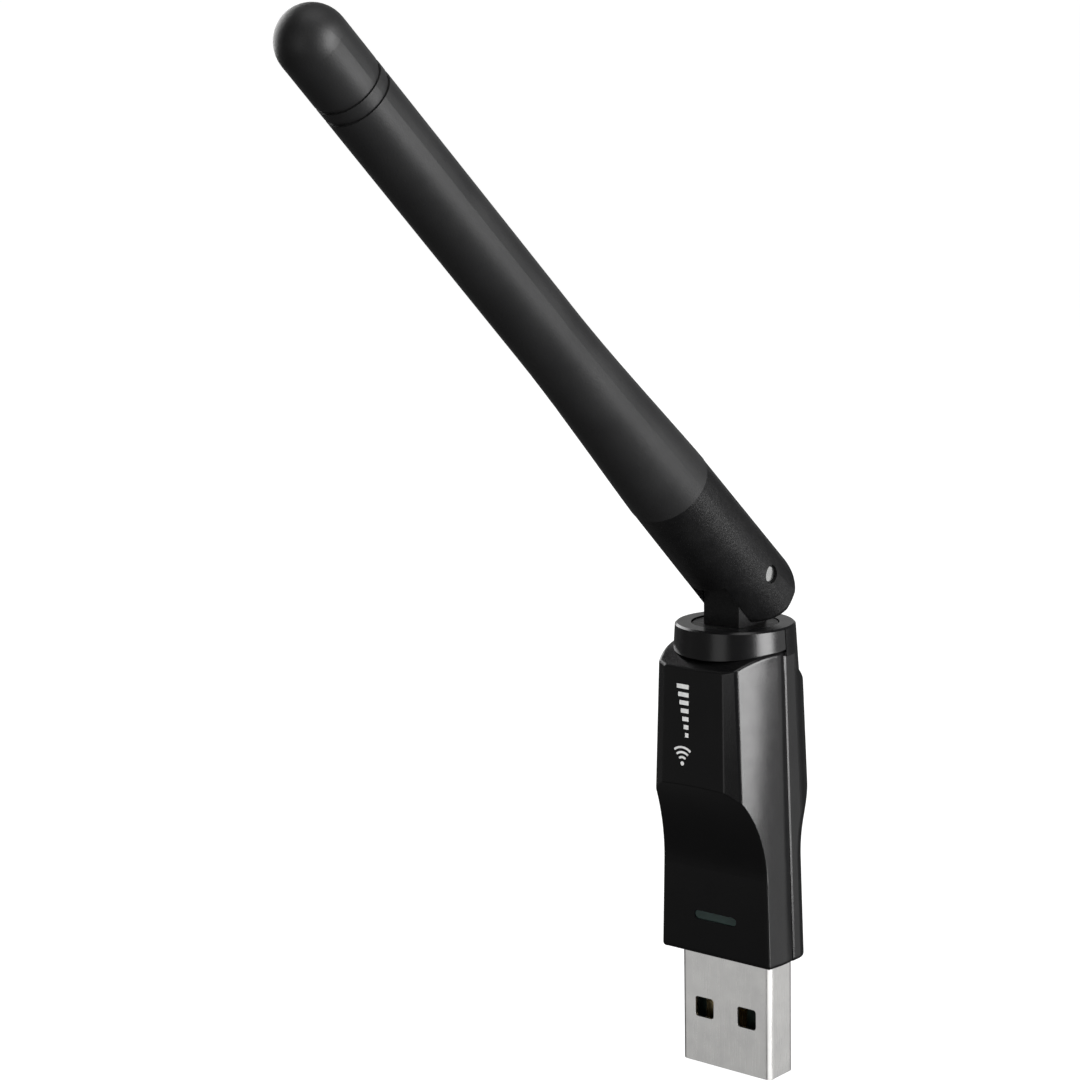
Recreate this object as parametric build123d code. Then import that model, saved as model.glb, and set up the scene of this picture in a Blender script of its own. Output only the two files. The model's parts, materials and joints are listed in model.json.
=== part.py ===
from build123d import *
import os
from math import radians, sin, cos

os.makedirs("parts", exist_ok=True)

# A USB wireless network adapter: a metal USB type A plug, a two-shell plastic
# housing, and a rod antenna on a swivelling, tilting hinge.
# Millimetres. The origin is the centre of the plug's open end, +Z runs from
# the plug to the antenna, -Y is the front face and X runs across it.

# ---------------------------------------------------------------- plug
plug_width = 12.0
plug_thickness = 4.5
plug_corner = 0.7
plug_sheet = 0.3
plug_length = 16.2
window_width = 2.5
window_height = 2.3
window_corner = 0.35
window_offset = 2.87
window_level = 6.47
insulator_play = 0.03
tongue_face = -0.15
tongue_start = 0.5
block_start = 11.8
block_end = 15.0
contact_thickness = 0.2
contact_width = 1.0
contact_places = (-3.5, -1.0, 1.0, 3.5)
contact_starts = (1.6, 2.6, 2.6, 1.6)
contact_end = 16.9

# ---------------------------------------------------------------- housing
housing_bottom = 13.3
section_level = 46.0
half_width = 6.4
side_draft = 0.034
cheek_half_width = 5.2
cheek_depth = 6.97
cheek_draft = 0.042
cheek_round = 0.8
flank_swell = 0.5
flank_swell_taper = 0.014
flank_swell_place = 1.9
flank_radius = 25.0
lip_rise = 0.1
lip_width = 0.3
front_half_width = 3.8
front_depth = 7.65
front_draft = 0.022
front_round = 0.6
front_crown = 0.15
back_depth = 6.75
back_corner = 4.95
back_draft = 0.02
panel_depth = 4.05
rear_panel_depth = 3.4
scoop_level = 23.2
scoop_radius = 15.5
rear_scoop_level = 24.4
rear_scoop_radius = 12.0
rear_edge_round = 2.1
panel_edge_round = 0.2
shoulder_round = 0.4
foot_round = 0.45
parting_width = 0.14
parting_depth = 0.13
wall = 1.0
dome_top = 47.95
dome_radius = 13.2
dome_centre = -1.5
shoulder_fall = 39.0
cavity_top = 44.6
bottom_wall = 1.2
plug_play = 0.05
slot_length = 5.7
slot_height = 1.0
slot_level = 17.85

# ---------------------------------------------------------------- collar and swivel
collar_top = 50.4
collar_radius = 6.55
collar_draft = 0.065
collar_bottom = 47.3
collar_rise = 7.0
rear_collar_bottom = 42.0
neck_radius = 6.15
pocket_bottom = 47.6
pocket_top = 49.0
pocket_radius = 5.6
lip_radius = 4.8
swivel_play = 0.14
disc_radius = lip_radius - swivel_play
disc_top = 50.25
flange_radius = 5.05
flange_bottom = pocket_bottom + 0.08
flange_top = pocket_top - 0.08
lug_radius = 5.5
lug_angle = 6.0
stop_radius = 5.15
stop_angle = 8.0
hub_radius = 2.0
hub_bottom = 45.2

# ---------------------------------------------------------------- hinge
pin_level = 56.06
tongue_half_width = 2.325
tongue_half_depth = 2.55
ear_play = 0.11
pin_radius = 0.8
pin_inner = 0.95
pin_outer = 4.5
pin_play = 0.04
pin_recess_radius = 1.0
cable_slot = 0.8
tilt = 48.0

# ---------------------------------------------------------------- antenna
knuckle_radius = 4.62
knuckle_foot_radius = 4.97
knuckle_end_radius = 5.3
knuckle_end_shift = 0.25
knuckle_flat = 4.85
knuckle_edge = 0.7
slot_root = 3.2
web_face = 2.75
joint_level = 16.0
spigot_radius = 3.3
spigot_top = 20.6
tip_level = 86.35
tip_radius = 3.42
flare_top = 41.5
shaft_radius = 3.68
joint_radius = 4.66
groove_level = 77.6
groove_pitch = 1.5
groove_width = 0.55
groove_depth = 0.28
bore_radius = 2.5
bore_top = 81.0
tube_bottom = 26.0
tube_top = 50.0
tube_outer = 2.1
tube_inner = 1.8
wire_radius = 0.3
wire_top = 78.5
shrink_bottom = 47.0
shrink_top = 54.0
shrink_wall = 0.25

# ---------------------------------------------------------------- board and wiring
board_thickness = 0.8
board_half_width = 5.0
board_bottom = 13.9
board_top = 43.0
cable_radius = 0.565
cable_level = tongue_face - cable_radius
peg_radius = 0.6
peg_play = 0.05
peg_offset = 3.9
peg_levels = (20.6, 39.0)
boss_radius = 1.25
capacitor_places = (
    (-4.4, 26.2), (-4.4, 27.8), (-4.4, 29.4), (-4.4, 31.0),
    (4.4, 26.8), (4.4, 28.4), (0.0, 24.6),
)
resistor_places = (
    (-1.6, 20.2), (0.0, 20.2), (1.6, 20.2),
    (4.4, 30.4), (4.4, 32.0), (-1.4, 33.4),
)


def block(x0, x1, y0, y1, z0, z1):
    """A box between two corners."""
    size = Box(x1 - x0, y1 - y0, z1 - z0)
    return Pos((x0 + x1) / 2, (y0 + y1) / 2, (z0 + z1) / 2) * size


def rod(radius, z0, z1, x=0.0, y=0.0):
    """A cylinder along Z."""
    return Pos(x, y, (z0 + z1) / 2) * Cylinder(radius, z1 - z0)


def rod_y(radius, y0, y1, x, z):
    """A cylinder along Y."""
    return Pos(x, (y0 + y1) / 2, z) * Rot(90, 0, 0) * Cylinder(radius, y1 - y0)


def rod_x(radius, x0, x1, z=0.0):
    """A cylinder along X on the line y = 0."""
    return Pos((x0 + x1) / 2, 0, z) * Rot(0, 90, 0) * Cylinder(radius, x1 - x0)


def cone(r0, r1, z0, z1):
    """A truncated cone along Z with radius r0 at z0 and r1 at z1."""
    return Pos(0, 0, (z0 + z1) / 2) * Cone(r0, r1, z1 - z0)


def sector(radius, z0, z1, middle, spread):
    """A wedge of a cylinder about Z, spread degrees wide about an angle."""
    wedge = Cylinder(radius, z1 - z0, arc_size=spread)
    return Pos(0, 0, (z0 + z1) / 2) * Rot(0, 0, middle - spread / 2) * wedge


def collar_radius_at(level):
    return collar_radius + (collar_top - level) * collar_draft


# ---------------------------------------------------------------- housing outline
def bowed(start, end, radius):
    """The middle of a shallow arc that bows to the right of start to end."""
    dx = end[0] - start[0]
    dy = end[1] - start[1]
    length = (dx**2 + dy**2) ** 0.5
    rise = length / (8 * radius)
    return ((start[0] + end[0]) / 2 + rise * dy, (start[1] + end[1]) / 2 - rise * dx)


def housing_section(level, inset):
    """The closed outline of the housing at a level, drawn in by inset.

    From the front round to the back: a nearly flat face, a narrow cheek, a
    flank that swells and then rolls in to the parting line, the back shell's
    raised lip and its round corner.
    """
    below = section_level - level
    face_x = front_half_width + front_draft * below - 0.2 * inset
    face_y = front_depth + front_draft * below - inset
    w = half_width + side_draft * below - inset
    back_w = w + (0 if inset else lip_rise)
    back_y = back_depth + back_draft * below - inset
    corner = back_corner - inset
    cheek = (cheek_half_width + cheek_draft * below - 0.75 * inset, 0.75 * inset - cheek_depth)
    belly = (w + flank_swell - flank_swell_taper * below, -flank_swell_place)
    seam = (w, 0)
    flank = ThreePointArc(cheek, bowed(cheek, belly, flank_radius), belly)
    right = [
        Line((face_x, -face_y), cheek),
        flank,
        TangentArc(belly, seam, tangent=flank % 1),
        Line(seam, (back_w, lip_width)),
        Line((back_w, lip_width), (back_w, back_y - corner)),
        CenterArc((back_w - corner, back_y - corner), corner, 0, 90),
    ]
    edges = [ThreePointArc((-face_x, -face_y), (0, -face_y - front_crown), (face_x, -face_y))]
    edges += right
    edges += [Line((back_w - corner, back_y), (corner - back_w, back_y))]
    edges += [edge.mirror(Plane.YZ) for edge in right]
    outline = make_face(edges)
    for depth, size in ((face_y, front_round), (-cheek[1], cheek_round)):
        corners = [v for v in outline.vertices() if abs(v.Y + depth) < 0.001]
        outline = fillet(corners, size)
    return Pos(0, 0, level) * outline


def scoop(side, depth, start, radius, inset):
    """What is cut away below the hip: a flat panel that curves out to the hip."""
    face = side * (depth - inset)
    centre = side * (depth + radius)
    radius = radius + inset
    sweep = radians(50.0)
    middle = sweep / 2
    end = (centre - side * radius * cos(sweep), start + radius * sin(sweep))
    half = (centre - side * radius * cos(middle), start + radius * sin(middle))
    foot = housing_bottom - 5.0
    far = side * 20.0
    outline = [
        Line((face, foot), (face, start)),
        ThreePointArc((face, start), half, end),
        Line(end, (far, end[1])),
        Line((far, end[1]), (far, foot)),
        Line((far, foot), (face, foot)),
    ]
    profile = Plane.YZ * make_face(outline)
    return extrude(profile, amount=20.0, both=True)


def housing_body(bottom, top, inset):
    """The drafted body with both scoops, between two levels."""
    body = loft([housing_section(bottom, inset), housing_section(top, inset)], ruled=True)
    body -= scoop(-1, panel_depth, scoop_level, scoop_radius, inset)
    body -= scoop(1, rear_panel_depth, rear_scoop_level, rear_scoop_radius, inset)
    return body


def round_rear_edges(body):
    """Rounds the long edges of the flat rear panel."""
    long_edges = []
    for edge in body.edges():
        middle = edge.center()
        low = middle.Z < rear_scoop_level and middle.Z > housing_bottom + 1.0
        if low and abs(middle.Y - rear_panel_depth) < 0.05 and edge.length > 5.0:
            long_edges.append(edge)
    return fillet(long_edges, rear_edge_round)


def round_panel_edges(body):
    """Breaks the sharp edge round the front panel, its scoop and the hip."""
    edges = []
    for edge in body.edges():
        middle = edge.center()
        size = edge.bounding_box().size
        straight = abs(middle.Y + panel_depth) < 0.05 and 14 < middle.Z < scoop_level and edge.length > 5
        flank = middle.Y < 0 and 25.3 < middle.Z < 31 and size.Z > 3
        hip = middle.Y < 0 and 31 < middle.Z < 34.5 and size.Z < 4
        if straight or flank or hip:
            edges.append(edge)
    return fillet(edges, panel_edge_round)


def round_shoulders(body):
    """Rounds the rim of the domed shoulders and the rim of the foot."""
    rim = []
    for edge in body.edges():
        crest = abs(edge.center().Y) < 0.1
        if edge.center().Z > 42.0 and edge.bounding_box().size.Z < 6 and not crest:
            rim.append(edge)
    body = fillet(rim, shoulder_round)
    return fillet(body.edges().group_by(Axis.Z)[0], foot_round)


def parting_groove():
    """The shallow groove along the line where the two shells meet."""
    band = block(-12, 12, -parting_width / 2, parting_width / 2, housing_bottom - 1, collar_top + 1)
    band -= housing_body(housing_bottom - 2, dome_top + 2.0, parting_depth)
    return band - rod(collar_radius - parting_depth, cavity_top, collar_top + 2)


def dome_cut():
    """Everything above the shoulders: domed in front, falling away behind."""
    above = block(-12, 12, -12, 12, dome_top - 12.0, dome_top + 12.0)
    level = dome_top - dome_radius
    dome = Pos(0, dome_centre, level) * Rot(0, 90, 0) * Cylinder(dome_radius, 30.0)
    crest = level + (dome_radius**2 - dome_centre**2) ** 0.5
    slope = Pos(0, 0, crest) * Rot(-shoulder_fall, 0, 0) * block(-15, 15, -1, 20, 0, 20)
    return (above - dome) + (slope & block(-15, 15, 0, 20, 30, 60))


def housing_solid():
    """The whole housing before it is parted into two shells."""
    outer = round_rear_edges(housing_body(housing_bottom, dome_top + 2.0, 0.0))
    outer -= dome_cut()
    outer = round_shoulders(round_panel_edges(outer))
    collar = cone(collar_radius_at(collar_bottom), collar_radius, collar_bottom, collar_top)
    collar = chamfer(collar.edges().group_by(Axis.Z)[-1], 0.2)
    underside = block(-12, 12, -3, collar_radius + 1, -3, 0)
    underside = Pos(0, -collar_radius, collar_bottom) * Rot(collar_rise, 0, 0) * underside
    collar -= underside & block(-12, 12, -12, 0, 40, 50)
    low = rear_collar_bottom
    rear_collar = cone(collar_radius_at(low), collar_radius_at(collar_bottom), low, collar_bottom)
    rear_collar &= housing_body(housing_bottom, dome_top, 0.0) & block(-10, 10, 0, 10, low, 48.0)
    outer += rod(neck_radius, cavity_top, collar_bottom + 1.0)
    outer += rear_collar
    outer += collar
    outer -= parting_groove()
    outer -= housing_body(housing_bottom + bottom_wall, cavity_top, wall)
    outer -= rod(pocket_radius, pocket_bottom, pocket_top)
    outer -= rod(lip_radius, pocket_top - 0.1, collar_top + 1.0)
    outer -= rod(hub_radius + swivel_play, cavity_top - 1.0, pocket_bottom + 0.1)
    stop = sector(pocket_radius + 0.2, pocket_bottom - 0.1, pocket_top + 0.1, 90.0, stop_angle)
    outer += stop - rod(stop_radius, pocket_bottom - 1.0, pocket_top + 1.0)
    mouth_x = plug_width / 2 + plug_play
    mouth_y = plug_thickness / 2 + plug_play
    sill = housing_bottom + bottom_wall + 0.1
    outer -= block(-mouth_x, mouth_x, -mouth_y, mouth_y, housing_bottom - 1, sill)
    return outer


def slot_shape(half_length, half_height, y0, y1):
    """A rounded bar along X, as deep as y0 to y1, at the light slot."""
    straight = half_length - half_height
    bar = block(-straight, straight, y0, y1, slot_level - half_height, slot_level + half_height)
    bar += rod_y(half_height, y0, y1, -straight, slot_level)
    bar += rod_y(half_height, y0, y1, straight, slot_level)
    return bar


def front_shell(body):
    """The front half: light slot, board ribs and locating pegs."""
    shell = body & block(-12, 12, -12, 0, 10, 55)
    room = housing_body(housing_bottom + bottom_wall, cavity_top, wall - 0.3)
    for side in (-1, 1):
        for level in peg_levels:
            place = side * peg_offset
            rib = block(place - 0.5, place + 0.5, -8, tongue_face, level - 1.6, level + 1.6)
            shell += rib & room
            shell += rod_y(peg_radius, tongue_face - 0.4, 2.4, place, level)
    shell -= slot_shape(slot_length / 2, slot_height / 2, -8, -1)
    return shell


def back_shell(body):
    """The back half: bosses that take the pegs and press on the board."""
    shell = body & block(-12, 12, 0, 12, 10, 55)
    room = housing_body(housing_bottom + bottom_wall, cavity_top, wall - 0.3)
    board_back = tongue_face + board_thickness
    for side in (-1, 1):
        for level in peg_levels:
            boss = rod_y(boss_radius, board_back, 8, side * peg_offset, level)
            shell += boss & room
            shell -= rod_y(peg_radius + peg_play, 0, 2.48, side * peg_offset, level)
    return shell


def led_window():
    """The clear bar behind the light slot, with a flange inside the wall."""
    inner = panel_depth - wall
    bar = slot_shape(slot_length / 2 - 0.03, slot_height / 2 - 0.03, -panel_depth + 0.2, -inner)
    flange = slot_shape(slot_length / 2 + 0.5, slot_height / 2 + 0.35, -inner, -inner + 0.6)
    guide = block(-1.0, 1.0, -inner + 0.6, -1.05, slot_level - 0.45, slot_level + 0.45)
    return bar + flange + guide


# ---------------------------------------------------------------- plug pieces
def rounded_bar(width, thickness, corner, z0, z1):
    outline = RectangleRounded(width, thickness, corner)
    return extrude(Pos(0, 0, z0) * outline, amount=z1 - z0)


def usb_shell():
    """The folded sheet sleeve, open at both ends, with four latch windows."""
    sleeve = rounded_bar(plug_width, plug_thickness, plug_corner, 0, plug_length)
    inner_width = plug_width - 2 * plug_sheet
    inner_thickness = plug_thickness - 2 * plug_sheet
    sleeve -= rounded_bar(inner_width, inner_thickness, plug_corner - plug_sheet, -1, plug_length + 1)
    for side in (-1, 1):
        x0 = side * window_offset - window_width / 2
        z0 = window_level - window_height / 2
        window = block(x0, x0 + window_width, -5, 5, z0, z0 + window_height)
        sleeve -= fillet(window.edges().filter_by(Axis.Y), window_corner)
    seam = block(-0.03, 0.03, 1.5, 3, -1, plug_length + 1)
    return sleeve - seam


def contact(index):
    x = contact_places[index]
    half = contact_width / 2
    y1 = tongue_face
    return block(x - half, x + half, y1 - contact_thickness, y1, contact_starts[index], contact_end)


def usb_insulator():
    """The plastic tongue that carries the contacts, with its rear block."""
    half_x = plug_width / 2 - plug_sheet - insulator_play
    half_y = plug_thickness / 2 - plug_sheet - insulator_play
    tongue = block(-half_x + 0.35, half_x - 0.35, tongue_face, half_y, tongue_start, block_start)
    tongue = chamfer(tongue.edges().group_by(Axis.Z)[0], 0.3)
    rear = rounded_bar(2 * half_x, 2 * half_y, plug_corner - plug_sheet, block_start, block_end)
    board_back = tongue_face + board_thickness
    rear -= block(-board_half_width, board_half_width, tongue_face, board_back, board_bottom, 20)
    body = tongue + rear
    for index in range(len(contact_places)):
        body -= contact(index)
    return body


# ---------------------------------------------------------------- board pieces
def circuit_board():
    """The board, notched into the plug and drilled for the pegs."""
    y0 = tongue_face
    y1 = tongue_face + board_thickness
    board = block(-board_half_width, board_half_width, y0, y1, board_bottom, board_top)
    for side in (-1, 1):
        for level in peg_levels:
            board -= rod_y(peg_radius + peg_play, -2, 2, side * peg_offset, level)
    return board


def on_board(x, z, width, height, thickness):
    """A block that lies on the front of the board, centred at x and z."""
    y1 = tongue_face
    return block(x - width / 2, x + width / 2, y1 - thickness, y1, z - height / 2, z + height / 2)


def behind_board(x, z, width, height, thickness):
    """A block that lies on the back of the board, centred at x and z."""
    y0 = tongue_face + board_thickness
    return block(x - width / 2, x + width / 2, y0, y0 + thickness, z - height / 2, z + height / 2)


def chip_body():
    body = on_board(0, 28.5, 5.0, 5.0, 0.85)
    dot = rod_y(0.3, tongue_face - 1.0, tongue_face - 0.8, -1.9, 30.4)
    return body - dot


def crystal_body():
    base = on_board(2.6, 23.6, 3.2, 2.5, 0.35)
    lid = on_board(2.6, 23.6, 2.8, 2.1, 0.7)
    return base + lid


def inductor_body():
    body = on_board(-2.7, 23.6, 2.5, 2.5, 1.2)
    return chamfer(body.edges().filter_by(Axis.Y), 0.4)


def small_parts(places, width, height, thickness):
    return [on_board(x, z, width, height, thickness) for x, z in places]


def cable_board():
    """The coaxial lead from its pads on the board up to the swivel's hub."""
    start = (0, cable_level, 37.2)
    bend = (0, cable_level, board_top + 0.4)
    rise = (0, 0, 44.3)
    end = (0, 0, hub_bottom - 0.25)
    route = FilletPolyline(start, bend, rise, end, radius=0.75)
    profile = Plane(origin=start, z_dir=(0, 0, 1)) * Circle(cable_radius)
    return sweep(profile, path=route)


# ---------------------------------------------------------------- turret
def turret_body():
    """The swivel: hub, flange with its stop lug, disc and upright tongue."""
    body = rod(hub_radius, hub_bottom, flange_bottom + 0.1)
    body += rod(flange_radius, flange_bottom, flange_top)
    body += sector(lug_radius, flange_bottom, flange_top, -90.0, lug_angle)
    body += rod(disc_radius, flange_top - 0.1, disc_top)
    tx = tongue_half_width
    ty = tongue_half_depth
    post = block(-tx, tx, -ty, ty, disc_top - 0.2, pin_level)
    post += rod_x(ty, -tx, tx, pin_level)
    body += post
    body -= rod(cable_radius + 0.15, hub_bottom - 1, pin_level)
    body -= block(-cable_slot, cable_slot, -4, cable_slot, pin_level - cable_slot, pin_level + 4)
    bore = pin_radius + pin_play
    body -= rod_x(bore, -5, 5, pin_level)
    return body


# ---------------------------------------------------------------- antenna, upright about its pin
def lean(part):
    """Puts a piece drawn upright about its pin in its leaning place."""
    return Pos(0, 0, pin_level) * Rot(tilt, 0, 0) * part


def hinge_pin(side):
    inner = min(side * pin_inner, side * pin_outer)
    outer = max(side * pin_inner, side * pin_outer)
    return rod_x(pin_radius, inner, outer)


def knuckle_body():
    """The round fork: two ears, a rear web that stops it upright, a spigot."""
    foot = -knuckle_end_radius - knuckle_end_shift
    body = cone(knuckle_foot_radius, knuckle_radius, foot, joint_level)
    flats = block(-knuckle_flat, knuckle_flat, -8, 8, 0, joint_level)
    flats += rod_x(knuckle_end_radius, -knuckle_flat, knuckle_flat, -knuckle_end_shift)
    body &= flats
    rim = [edge for edge in body.edges() if edge.center().Z < -0.5]
    body = fillet(rim, knuckle_edge)
    body += rod(spigot_radius, joint_level - 0.1, spigot_top)
    gap = tongue_half_width + ear_play
    body -= block(-gap, gap, -8, web_face, -8, slot_root)
    body -= rod(cable_radius + 0.2, 0, spigot_top + 1)
    body -= rod_x(pin_radius, -pin_outer, pin_outer)
    for side in (-1, 1):
        inner = min(side * pin_outer, side * 6)
        outer = max(side * pin_outer, side * 6)
        body -= rod_x(pin_recess_radius, inner, outer)
    return body


def sleeve_body():
    """The long rubbery sleeve: flared foot, slim shaft, two rings, domed tip."""
    dome = tip_level - tip_radius
    outline = [
        Line((0, joint_level), (joint_radius, joint_level)),
        Spline(
            (joint_radius, joint_level),
            (shaft_radius, flare_top),
            tangents=[(-0.037, 1), (-0.009, 1)],
        ),
        Line((shaft_radius, flare_top), (tip_radius, dome)),
        CenterArc((0, dome), tip_radius, 0, 90),
        Line((0, tip_level), (0, joint_level)),
    ]
    body = revolve(Plane.XZ * make_face(outline), axis=Axis.Z)
    for index in range(2):
        level = groove_level - groove_pitch * index
        ring = rod(6, level - groove_width / 2, level + groove_width / 2)
        body -= ring - rod(tip_radius + 0.1 - groove_depth, level - 1, level + 1)
    body -= rod(spigot_radius + 0.03, joint_level - 1, spigot_top + 0.2)
    body -= rod(bore_radius, spigot_top, bore_top)
    return body


def radiator_tube():
    """The lower half of the dipole: a brass tube closed on to the braid."""
    tube = rod(tube_outer, tube_bottom, tube_top) - rod(tube_inner, tube_bottom - 1, tube_top - 0.5)
    return tube - rod(cable_radius, tube_top - 1, tube_top + 1)


def element_wire():
    """The upper half of the dipole: the bared inner conductor."""
    return rod(wire_radius, tube_top + 0.8, wire_top)


def heat_shrink():
    """Shrink tubing over the feed point, stepping down from tube to wire."""
    outer = tube_outer + shrink_wall
    sleeve = rod(outer, shrink_bottom, shrink_top)
    sleeve -= rod(tube_outer, shrink_bottom - 1, tube_top)
    sleeve -= rod(cable_radius, tube_top - 0.1, tube_top + 0.8)
    return sleeve - rod(wire_radius, tube_top, shrink_top + 1)


def foam_spacer():
    """The foam plug that keeps the wire on the sleeve's axis."""
    return rod(bore_radius - 0.05, 66.0, 72.0) - rod(wire_radius, 60, 80)


def cable_antenna():
    return rod(cable_radius, pin_radius + 0.2, tube_top + 0.8)


def write(name, shape):
    """Writes one node; a list becomes one node of separate solids."""
    if isinstance(shape, list):
        shape = Compound(children=shape)
    shape.label = name
    export_step(shape, "parts/" + name + ".step")


body = housing_solid()
write("front_shell", front_shell(body))
write("back_shell", back_shell(body))
write("led_window", led_window())
write("usb_shell", usb_shell())
write("usb_insulator", usb_insulator())
write("usb_contacts", [contact(i) for i in range(len(contact_places))])
write("circuit_board", circuit_board())
write("wifi_chip", chip_body())
write("crystal", crystal_body())
write("power_inductor", inductor_body())
write("status_led", on_board(0, slot_level, 1.6, 0.8, 0.6))
write("capacitors", small_parts(capacitor_places, 1.0, 0.5, 0.5))
write("resistors", small_parts(resistor_places, 1.0, 0.5, 0.35))
write("memory_chip", behind_board(0, 27.0, 4.9, 3.9, 1.4))
write("cable_board", cable_board())
write("turret", turret_body())
write("cable_turret", rod(cable_radius, hub_bottom, pin_level - pin_radius - 0.2))
write("hinge_pins", [lean(hinge_pin(-1)), lean(hinge_pin(1))])
write("knuckle", lean(knuckle_body()))
write("antenna_sleeve", lean(sleeve_body()))
write("cable_antenna", lean(cable_antenna()))
write("radiator_tube", lean(radiator_tube()))
write("element_wire", lean(element_wire()))
write("heat_shrink", lean(heat_shrink()))
write("foam_spacer", lean(foam_spacer()))
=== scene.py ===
import json
import math

import bmesh
import bpy
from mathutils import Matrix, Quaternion, Vector
from mathutils.bvhtree import BVHTree


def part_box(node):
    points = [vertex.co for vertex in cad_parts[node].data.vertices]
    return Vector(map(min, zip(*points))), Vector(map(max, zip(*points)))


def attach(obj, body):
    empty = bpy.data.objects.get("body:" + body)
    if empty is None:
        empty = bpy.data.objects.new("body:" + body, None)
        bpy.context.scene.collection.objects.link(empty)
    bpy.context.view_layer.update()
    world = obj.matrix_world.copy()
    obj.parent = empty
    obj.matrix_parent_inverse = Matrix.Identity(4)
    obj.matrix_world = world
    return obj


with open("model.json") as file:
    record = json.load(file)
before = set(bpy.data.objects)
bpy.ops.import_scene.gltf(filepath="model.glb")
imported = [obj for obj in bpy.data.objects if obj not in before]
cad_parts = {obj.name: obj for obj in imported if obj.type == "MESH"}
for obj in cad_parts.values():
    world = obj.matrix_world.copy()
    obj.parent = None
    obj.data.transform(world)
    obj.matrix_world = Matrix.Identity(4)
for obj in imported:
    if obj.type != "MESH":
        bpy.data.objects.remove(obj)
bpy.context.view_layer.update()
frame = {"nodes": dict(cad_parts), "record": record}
nodes = frame["nodes"]

MM = 0.001
EDGE_SAMPLES = 6
TRACKS_ACROSS = 2600.0
TRACKS_ALONG = 2100.0
TRACK_GAP = 0.72
DEEP_GRAIN = 0.02 * MM


# ------------------------------------------------------------------ shader helpers
class Shader:
    """One node material built round a Principled shader."""

    def __init__(self, name, colour, roughness, metallic=0.0, specular=0.5):
        self.material = bpy.data.materials.new(name)
        self.material.use_nodes = True
        self.nodes = self.material.node_tree.nodes
        self.links = self.material.node_tree.links
        self.surface = self.nodes["Principled BSDF"]
        self.colour = colour
        self.set("Base Color", (*colour, 1.0))
        self.set("Roughness", roughness)
        self.set("Metallic", metallic)
        self.set("Specular IOR Level", specular)
        self.place = self.nodes.new("ShaderNodeTexCoord").outputs["Object"]

    def set(self, socket, value):
        self.surface.inputs[socket].default_value = value

    def join(self, output, socket):
        self.links.new(output, socket)

    def stretched(self, scale):
        """Object coordinates scaled by a factor on each axis."""
        node = self.nodes.new("ShaderNodeMapping")
        node.inputs["Scale"].default_value = scale
        self.join(self.place, node.inputs["Vector"])
        return node.outputs["Vector"]

    def noise(self, size, detail=3.0, roughness=0.55, place=None):
        """A cloud texture whose features are about size metres across."""
        node = self.nodes.new("ShaderNodeTexNoise")
        node.inputs["Scale"].default_value = 1.0 / size
        node.inputs["Detail"].default_value = detail
        node.inputs["Roughness"].default_value = roughness
        self.join(place or self.place, node.inputs["Vector"])
        return node.outputs["Fac"]

    def cells(self, size):
        """Distance to the nearest of a scatter of points size metres apart."""
        node = self.nodes.new("ShaderNodeTexVoronoi")
        node.inputs["Scale"].default_value = 1.0 / size
        self.join(self.place, node.inputs["Vector"])
        return node.outputs["Distance"]

    def ramp(self, output, low, high, start=0.35, end=0.65):
        """Maps a texture's start to end on to low to high."""
        node = self.nodes.new("ShaderNodeMapRange")
        node.inputs["From Min"].default_value = start
        node.inputs["From Max"].default_value = end
        node.inputs["To Min"].default_value = low
        node.inputs["To Max"].default_value = high
        self.join(output, node.inputs["Value"])
        return node.outputs["Result"]

    def math(self, operation, first, second=0.0):
        """A maths node on one or two values, each a number or an output."""
        node = self.nodes.new("ShaderNodeMath")
        node.operation = operation
        for socket, value in zip(node.inputs, (first, second)):
            if isinstance(value, (int, float)):
                socket.default_value = value
            else:
                self.join(value, socket)
        return node.outputs["Value"]

    def mix(self, factor, first, second):
        """Blends two colours by a factor."""
        node = self.nodes.new("ShaderNodeMix")
        node.data_type = "RGBA"
        self.join(factor, node.inputs["Factor"])
        for socket, value in ((node.inputs["A"], first), (node.inputs["B"], second)):
            if isinstance(value, tuple):
                socket.default_value = (*value, 1.0)
            else:
                self.join(value, socket)
        return node.outputs["Result"]

    def mottle(self, output, other):
        """The base colour drifts towards another colour."""
        self.join(self.mix(output, self.colour, other), self.surface.inputs["Base Color"])

    def vary_roughness(self, output):
        self.join(output, self.surface.inputs["Roughness"])

    def bump(self, output, depth, soften=0.0):
        """Relief of a real depth in metres, over edges rounded by soften."""
        node = self.nodes.new("ShaderNodeBump")
        node.inputs["Strength"].default_value = 1.0
        node.inputs["Distance"].default_value = depth
        self.join(output, node.inputs["Height"])
        if soften:
            edge = self.nodes.new("ShaderNodeBevel")
            edge.samples = EDGE_SAMPLES
            edge.inputs["Radius"].default_value = soften
            self.join(edge.outputs["Normal"], node.inputs["Normal"])
        self.join(node.outputs["Normal"], self.surface.inputs["Normal"])

    def axes(self):
        """The X, Y and Z of object coordinates as three values."""
        node = self.nodes.new("ShaderNodeSeparateXYZ")
        self.join(self.place, node.inputs["Vector"])
        return node.outputs


# ------------------------------------------------------------------ materials
def shell_plastic():
    """Satin black moulding with a very fine spark-eroded grain."""
    s = Shader("shell_plastic", (0.0040, 0.0040, 0.0043), 0.25, specular=0.50)
    s.mottle(s.ramp(s.noise(4 * MM), 0.0, 1.0), (0.0055, 0.0055, 0.0058))
    s.vary_roughness(s.ramp(s.noise(1.2 * MM, 5.0), 0.24, 0.27))
    s.bump(s.noise(0.20 * MM, 3.0, 0.6), 0.006 * MM)
    return s.material


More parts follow.
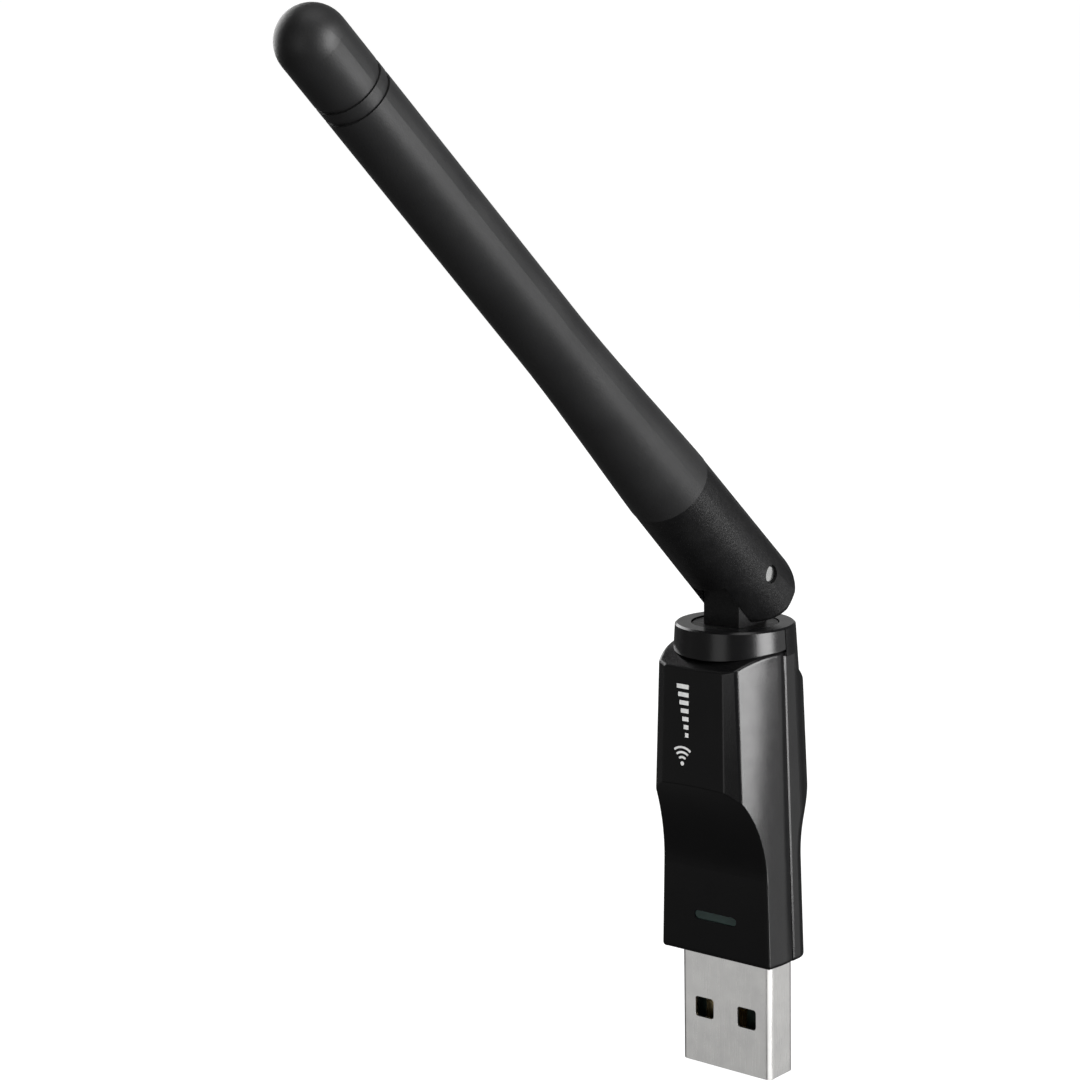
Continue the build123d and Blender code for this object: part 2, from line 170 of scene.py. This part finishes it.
def hinge_plastic():
    """The hinge's plastic: a slightly duller black with a coarser grain."""
    s = Shader("hinge_plastic", (0.0050, 0.0050, 0.0053), 0.34, specular=0.34)
    s.mottle(s.ramp(s.noise(3 * MM), 0.0, 1.0), (0.0080, 0.0080, 0.0083))
    s.vary_roughness(s.ramp(s.noise(0.9 * MM, 5.0), 0.32, 0.42))
    s.bump(s.noise(0.32 * MM, 4.0, 0.8), 0.05 * MM)
    return s.material


def sleeve_rubber():
    """Soft black elastomer: matte, uneven in gloss, with a trace of sheen."""
    s = Shader("sleeve_rubber", (0.0120, 0.0120, 0.0124), 0.48, specular=0.42)
    s.mottle(s.ramp(s.noise(7 * MM, 4.0), 0.0, 1.0), (0.0165, 0.0165, 0.0169))
    s.vary_roughness(s.ramp(s.noise(5 * MM, 5.0), 0.44, 0.52))
    s.bump(s.noise(0.20 * MM, 5.0, 0.7), 0.010 * MM)
    s.set("Sheen Weight", 0.05)
    s.set("Sheen Roughness", 0.4)
    return s.material


def plug_metal():
    """Nickel-plated sheet with a faint brushed grain along the plug."""
    s = Shader("plug_metal", (0.60, 0.595, 0.585), 0.27, metallic=1.0)
    lines = s.noise(0.10 * MM, 3.0, 0.6, s.stretched((1.0, 1.0, 0.03)))
    s.mottle(s.ramp(s.noise(2.5 * MM, 4.0), 0.0, 1.0), (0.66, 0.655, 0.64))
    s.vary_roughness(s.ramp(lines, 0.27, 0.32))
    s.bump(lines, 0.0006 * MM, soften=0.06 * MM)
    return s.material


def clear_plastic():
    """The light bar: smoky, faintly green clear plastic."""
    s = Shader("clear_plastic", (0.18, 0.27, 0.25), 0.16, specular=0.5)
    s.set("Transmission Weight", 0.55)
    s.set("IOR", 1.49)
    s.vary_roughness(s.ramp(s.noise(0.5 * MM, 3.0), 0.12, 0.24))
    s.bump(s.noise(0.4 * MM, 2.0), 0.003 * MM)
    return s.material


def dark_plastic():
    """The plug's insulator, a dull black with a trace of green."""
    s = Shader("dark_plastic", (0.012, 0.026, 0.019), 0.5, specular=0.4)
    s.mottle(s.ramp(s.noise(1.5 * MM), 0.0, 1.0), (0.016, 0.034, 0.025))
    s.vary_roughness(s.ramp(s.noise(0.6 * MM), 0.45, 0.58))
    s.bump(s.noise(0.12 * MM, 4.0), 0.006 * MM)
    return s.material


def gold_contact():
    """Gold plate, worn lighter in streaks where a socket's springs rub."""
    s = Shader("gold_contact", (0.80, 0.56, 0.20), 0.24, metallic=1.0)
    streaks = s.noise(0.14 * MM, 3.0, 0.6, s.stretched((1.0, 1.0, 0.05)))
    s.mottle(s.ramp(streaks, 0.0, 1.0), (0.74, 0.62, 0.38))
    s.vary_roughness(s.ramp(streaks, 0.18, 0.36))
    s.bump(streaks, 0.001 * MM)
    return s.material


def board():
    """Green solder mask, raised and paler over tracks that run two ways."""
    s = Shader("board", (0.010, 0.085, 0.035), 0.32, specular=0.5)
    x, _, z = s.axes()
    across = s.math("ABSOLUTE", s.math("SINE", s.math("MULTIPLY", x, TRACKS_ACROSS)))
    along = s.math("ABSOLUTE", s.math("SINE", s.math("MULTIPLY", z, TRACKS_ALONG)))
    region = s.math("GREATER_THAN", s.noise(5 * MM, 1.0), 0.5)
    crosswise = s.math("MULTIPLY", across, region)
    lengthwise = s.math("MULTIPLY", along, s.math("SUBTRACT", 1.0, region))
    lines = s.math("ADD", crosswise, lengthwise)
    tracks = s.math("GREATER_THAN", lines, TRACK_GAP)
    s.mottle(tracks, (0.018, 0.15, 0.06))
    s.vary_roughness(s.ramp(s.noise(1.2 * MM), 0.26, 0.38))
    s.bump(tracks, 0.012 * MM)
    return s.material


def chip_plastic():
    """Moulded package compound: grey black, fine and dull."""
    s = Shader("chip_plastic", (0.020, 0.020, 0.021), 0.6, specular=0.4)
    s.mottle(s.ramp(s.noise(0.5 * MM, 4.0), 0.0, 1.0), (0.034, 0.034, 0.035))
    s.vary_roughness(s.ramp(s.noise(0.8 * MM), 0.52, 0.68))
    s.bump(s.noise(0.07 * MM, 4.0), 0.005 * MM)
    return s.material


def metal(name, colour, other, roughness):
    """Plain metal with a mottled finish."""
    s = Shader(name, colour, roughness, metallic=1.0)
    s.mottle(s.ramp(s.noise(1.5 * MM, 4.0), 0.0, 1.0), other)
    s.vary_roughness(s.ramp(s.noise(0.7 * MM, 4.0), roughness - 0.05, roughness + 0.08))
    s.bump(s.noise(0.15 * MM, 3.0), 0.002 * MM)
    return s.material


def dull(name, colour, other, roughness, grain, depth):
    """Any dull non-metal with a mottled colour. A deep grain is made of cells."""
    s = Shader(name, colour, roughness, specular=0.4)
    s.mottle(s.ramp(s.noise(6 * grain, 4.0), 0.0, 1.0), other)
    s.vary_roughness(s.ramp(s.noise(3 * grain), roughness - 0.06, roughness + 0.06))
    relief = s.cells(grain) if depth > DEEP_GRAIN else s.noise(grain, 4.0)
    s.bump(relief, depth)
    return s.material


def led_lens():
    """The light's water-clear resin over its pale cup."""
    s = Shader("led_lens", (0.75, 0.82, 0.62), 0.2, specular=0.5)
    s.set("Transmission Weight", 0.4)
    s.mottle(s.ramp(s.noise(0.5 * MM), 0.0, 1.0), (0.86, 0.88, 0.80))
    s.vary_roughness(s.ramp(s.noise(0.4 * MM), 0.14, 0.28))
    return s.material


def print_ink():
    """White pad-printed ink, slightly uneven."""
    s = Shader("print_ink", (0.78, 0.78, 0.77), 0.5, specular=0.4)
    s.mottle(s.ramp(s.noise(0.35 * MM, 4.0), 0.0, 1.0), (0.68, 0.68, 0.67))
    s.vary_roughness(s.ramp(s.noise(0.3 * MM), 0.42, 0.58))
    s.bump(s.noise(0.10 * MM, 3.0), 0.003 * MM)
    return s.material


def make_materials():
    """One material for each of the record's slots."""
    return {
        "shell_plastic": shell_plastic(),
        "hinge_plastic": hinge_plastic(),
        "sleeve_rubber": sleeve_rubber(),
        "plug_metal": plug_metal(),
        "clear_plastic": clear_plastic(),
        "dark_plastic": dark_plastic(),
        "gold_contact": gold_contact(),
        "board": board(),
        "chip_plastic": chip_plastic(),
        "led_lens": led_lens(),
        "can_metal": metal("can_metal", (0.64, 0.64, 0.62), (0.70, 0.69, 0.66), 0.30),
        "pin_steel": metal("pin_steel", (0.66, 0.66, 0.66), (0.74, 0.74, 0.73), 0.22),
        "brass": metal("brass", (0.66, 0.47, 0.19), (0.56, 0.37, 0.15), 0.34),
        "copper": metal("copper", (0.72, 0.36, 0.20), (0.60, 0.29, 0.16), 0.32),
        "ferrite": dull(
            "ferrite", (0.065, 0.065, 0.070), (0.09, 0.09, 0.094),
            0.62, 0.10 * MM, 0.006 * MM,
        ),
        "ceramic": dull(
            "ceramic", (0.42, 0.28, 0.16), (0.52, 0.37, 0.23),
            0.48, 0.15 * MM, 0.004 * MM,
        ),
        "cable_jacket": dull(
            "cable_jacket", (0.022, 0.022, 0.025), (0.034, 0.034, 0.037),
            0.36, 0.3 * MM, 0.005 * MM,
        ),
        "shrink": dull(
            "shrink", (0.012, 0.012, 0.012), (0.022, 0.022, 0.022),
            0.6, 0.2 * MM, 0.008 * MM,
        ),
        "foam": dull(
            "foam", (0.62, 0.60, 0.54), (0.72, 0.70, 0.65),
            0.9, 0.35 * MM, 0.08 * MM,
        ),
    }


def paint_nodes(materials):
    """Gives every CAD node the material of its slot in the record."""
    for part in frame["record"]["subparts"]:
        mesh = nodes[part["node"]].data
        mesh.materials.clear()
        mesh.materials.append(materials[part["material_slot"]])


# ------------------------------------------------------------------ printed mark
MARK_FROM = 35.6 * MM
MARK_ACROSS = -1.3 * MM
MARK_HEIGHT = 1.6 * MM
INK = 0.02 * MM
RAY_START = 5 * MM
WELD = 0.0005 * MM

# shares of the mark's height, degrees, and counts
SOURCE = (0.22, 0.5)
DOT_HOLE = 0.0001
LINE_WIDTH = 0.15
ARCS = 3
ARC_FIRST = 0.36
ARC_STEP = 0.34
ARC_SPREAD = 38
BARS = 7
BARS_FROM = 2.05
BAR_STEP = 0.55
BAR_WIDTH = 0.30
BAR_FIRST = 0.28
BAR_RISE = 0.12
DOT_SIDES = 20
ARC_PIECES = 14
BAR_PIECES = 6


def ring_piece(middle, inner, outer, start, end, steps):
    """A flat arc in the mark's own plane, as a row of quads."""
    quads = []
    for i in range(steps):
        a = math.radians(start + (end - start) * i / steps)
        b = math.radians(start + (end - start) * (i + 1) / steps)
        corners = []
        for angle, radius in ((a, inner), (b, inner), (b, outer), (a, outer)):
            along = middle[0] + radius * math.cos(angle)
            across = middle[1] + radius * math.sin(angle)
            corners.append((along, across))
        quads.append(corners)
    return quads


def bar_piece(low, high, steps):
    """A flat upright bar cut into short quads, so that it follows a curve."""
    quads = []
    for i in range(steps):
        y0 = low[1] + (high[1] - low[1]) * i / steps
        y1 = low[1] + (high[1] - low[1]) * (i + 1) / steps
        quads.append([(low[0], y0), (high[0], y0), (high[0], y1), (low[0], y1)])
    return quads


def mark_shapes():
    """A generic radio symbol and seven rising signal bars, in a row."""
    unit = MARK_HEIGHT
    source = (SOURCE[0] * unit, SOURCE[1] * unit)
    shapes = ring_piece(source, DOT_HOLE * unit, LINE_WIDTH * unit, -180, 180, DOT_SIDES)
    for index in range(ARCS):
        inner = (ARC_FIRST + ARC_STEP * index) * unit
        outer = inner + LINE_WIDTH * unit
        shapes += ring_piece(source, inner, outer, -ARC_SPREAD, ARC_SPREAD, ARC_PIECES)
    for index in range(BARS):
        left = (BARS_FROM + BAR_STEP * index) * unit
        top = (BAR_FIRST + BAR_RISE * index) * unit
        shapes += bar_piece((left, 0.0), (left + BAR_WIDTH * unit, top), BAR_PIECES)
    return shapes


def printed_mark(material):
    """The mark's ink lies on the front shell and reads upwards along it."""
    shell = nodes["front_shell"]
    tree = BVHTree.FromObject(shell, bpy.context.evaluated_depsgraph_get())
    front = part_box("front_shell")[0].y - RAY_START
    work = bmesh.new()
    for quad in mark_shapes():
        lower, upper = [], []
        for along, across in quad:
            start = Vector((MARK_ACROSS - across + MARK_HEIGHT / 2, front, MARK_FROM + along))
            spot = tree.ray_cast(start, Vector((0, 1, 0)))[0]
            upper.append(work.verts.new(spot - Vector((0, INK, 0))))
            lower.append(work.verts.new(spot + Vector((0, INK, 0))))
        work.faces.new(upper)
        work.faces.new(lower[::-1])
        for i in range(4):
            j = (i + 1) % 4
            work.faces.new((upper[j], upper[i], lower[i], lower[j]))
    bmesh.ops.remove_doubles(work, verts=work.verts, dist=WELD)
    bmesh.ops.dissolve_degenerate(work, edges=work.edges, dist=WELD)
    bmesh.ops.recalc_face_normals(work, faces=work.faces)
    mesh = bpy.data.meshes.new("printed_mark")
    work.to_mesh(mesh)
    work.free()
    mesh.materials.append(material)
    mark = bpy.data.objects.new("printed_mark", mesh)
    bpy.context.scene.collection.objects.link(mark)
    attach(mark, "housing")


# ------------------------------------------------------------------ studio
CAMERA_AZIMUTH = 40.37
CAMERA_ELEVATION = 9.50
CAMERA_ROLL = -1.04
CAMERA_PLACE = Vector((159.23, -219.78, 104.99)) * MM
CAMERA_LENS = 84.65
SENSOR = 36.0
LIT_POINT = (0.0, -20.0, 45.0)
SWEEP_RADIUS = 4.0
SWEEP_BEND = 1.5
SWEEP_HEIGHT = 5.0
SWEEP_STEPS = 12
SWEEP_SIDES = 96
SWEEP_WELD = 0.0001
ROOM_LIGHT = 0.07


def make_camera():
    """A short portrait lens, right of the front and a little above."""
    data = bpy.data.cameras.new("camera")
    data.sensor_width = SENSOR
    data.lens = CAMERA_LENS
    data.clip_start = 0.01
    data.clip_end = 50.0
    azimuth = math.radians(CAMERA_AZIMUTH)
    elevation = math.radians(CAMERA_ELEVATION)
    flat = math.cos(elevation)
    back = Vector((math.sin(azimuth) * flat, -math.cos(azimuth) * flat, math.sin(elevation)))
    turn = (-back).to_track_quat("-Z", "Y")
    turn = turn @ Quaternion((0, 0, 1), math.radians(CAMERA_ROLL))
    camera = bpy.data.objects.new("camera", data)
    camera.rotation_mode = "QUATERNION"
    camera.location = CAMERA_PLACE
    camera.rotation_quaternion = turn
    bpy.context.scene.collection.objects.link(camera)
    bpy.context.scene.camera = camera


def make_floor():
    """A wide white sweep: a flat floor whose rim curves up to a high wall."""
    rings = [(0.0, 0.0), (SWEEP_RADIUS - SWEEP_BEND, 0.0)]
    for step in range(1, SWEEP_STEPS + 1):
        angle = math.radians(90 * step / SWEEP_STEPS)
        out = SWEEP_RADIUS - SWEEP_BEND + SWEEP_BEND * math.sin(angle)
        rings.append((out, SWEEP_BEND * (1 - math.cos(angle))))
    rings.append((SWEEP_RADIUS, SWEEP_HEIGHT))
    work = bmesh.new()
    line = [work.verts.new((out, 0, level)) for out, level in rings]
    edges = [work.edges.new(pair) for pair in zip(line, line[1:])]
    bmesh.ops.spin(
        work, geom=line + edges, cent=(0, 0, 0), axis=(0, 0, 1), angle=2 * math.pi, steps=SWEEP_SIDES
    )
    bmesh.ops.remove_doubles(work, verts=work.verts, dist=SWEEP_WELD)
    bmesh.ops.recalc_face_normals(work, faces=work.faces)
    for face in work.faces:
        face.smooth = True
    mesh = bpy.data.meshes.new("floor")
    work.to_mesh(mesh)
    work.free()
    s = Shader("floor", (0.20, 0.20, 0.20), 0.9, specular=0.0)
    s.set("Emission Color", (1.0, 1.0, 1.0, 1.0))
    s.set("Emission Strength", 1.0)
    mesh.materials.append(s.material)
    floor = bpy.data.objects.new("floor", mesh)
    bpy.context.scene.collection.objects.link(floor)
    floor.visible_diffuse = False
    floor.visible_glossy = False
    floor.visible_shadow = False


def soft_box(name, azimuth, elevation, distance, width, height, radiance, only=()):
    """An area light that faces the object, or lights only some of its pieces.
    Azimuth 0 is +X, 90 is +Y."""
    a = math.radians(azimuth)
    e = math.radians(elevation)
    away = Vector((math.cos(a) * math.cos(e), math.sin(a) * math.cos(e), math.sin(e)))
    data = bpy.data.lights.new(name, "AREA")
    data.shape = "RECTANGLE"
    data.size = width
    data.size_y = height
    data.energy = radiance * math.pi * width * height
    light = bpy.data.objects.new(name, data)
    light.location = Vector(LIT_POINT) * MM + away * distance
    light.rotation_mode = "QUATERNION"
    light.rotation_quaternion = (-away).to_track_quat("-Z", "Y")
    light.visible_camera = False
    bpy.context.scene.collection.objects.link(light)
    if only:
        lit = bpy.data.collections.new(name)
        for piece in only:
            lit.objects.link(bpy.data.objects[piece])
        light.light_linking.receiver_collection = lit


def make_lights():
    """One bright box on the right, weaker ones on every side and above, cards that
    light only the plug or the print, and a dim room."""
    soft_box("right_box", 6, 9, 0.60, 0.34, 0.55, 11.5)
    soft_box("side_box", 44, -4, 0.70, 0.36, 0.60, 0.7)
    soft_box("back_box", 128, 14, 0.80, 0.60, 0.50, 0.3)
    soft_box("rear_box", 168, 20, 0.70, 0.50, 0.50, 4.0)
    soft_box("front_box", -84, 2, 0.70, 0.34, 0.50, 0.9)
    soft_box("left_box", -130, 0, 0.80, 0.80, 0.60, 0.10)
    soft_box("top_box", -50, 80, 0.70, 0.50, 0.50, 1.5)
    soft_box("plug_card", -128, -10, 0.30, 0.40, 0.30, 0.58, only=("usb_shell",))
    soft_box("plug_edge", -35, -12, 0.30, 0.34, 0.30, 1.6, only=("usb_shell",))
    soft_box("plug_side", 50, -12, 0.30, 0.20, 0.30, 0.22, only=("usb_shell",))
    soft_box("print_card", -80, 25, 0.50, 0.40, 0.40, 4.0, only=("printed_mark",))
    world = bpy.data.worlds.new("room")
    world.use_nodes = True
    room = world.node_tree.nodes["Background"]
    room.inputs["Color"].default_value = (1.0, 1.0, 1.0, 1.0)
    room.inputs["Strength"].default_value = ROOM_LIGHT
    bpy.context.scene.world = world
    bpy.context.scene.view_settings.view_transform = "Standard"


materials = make_materials()
paint_nodes(materials)
printed_mark(print_ink())
make_camera()
make_floor()
make_lights()
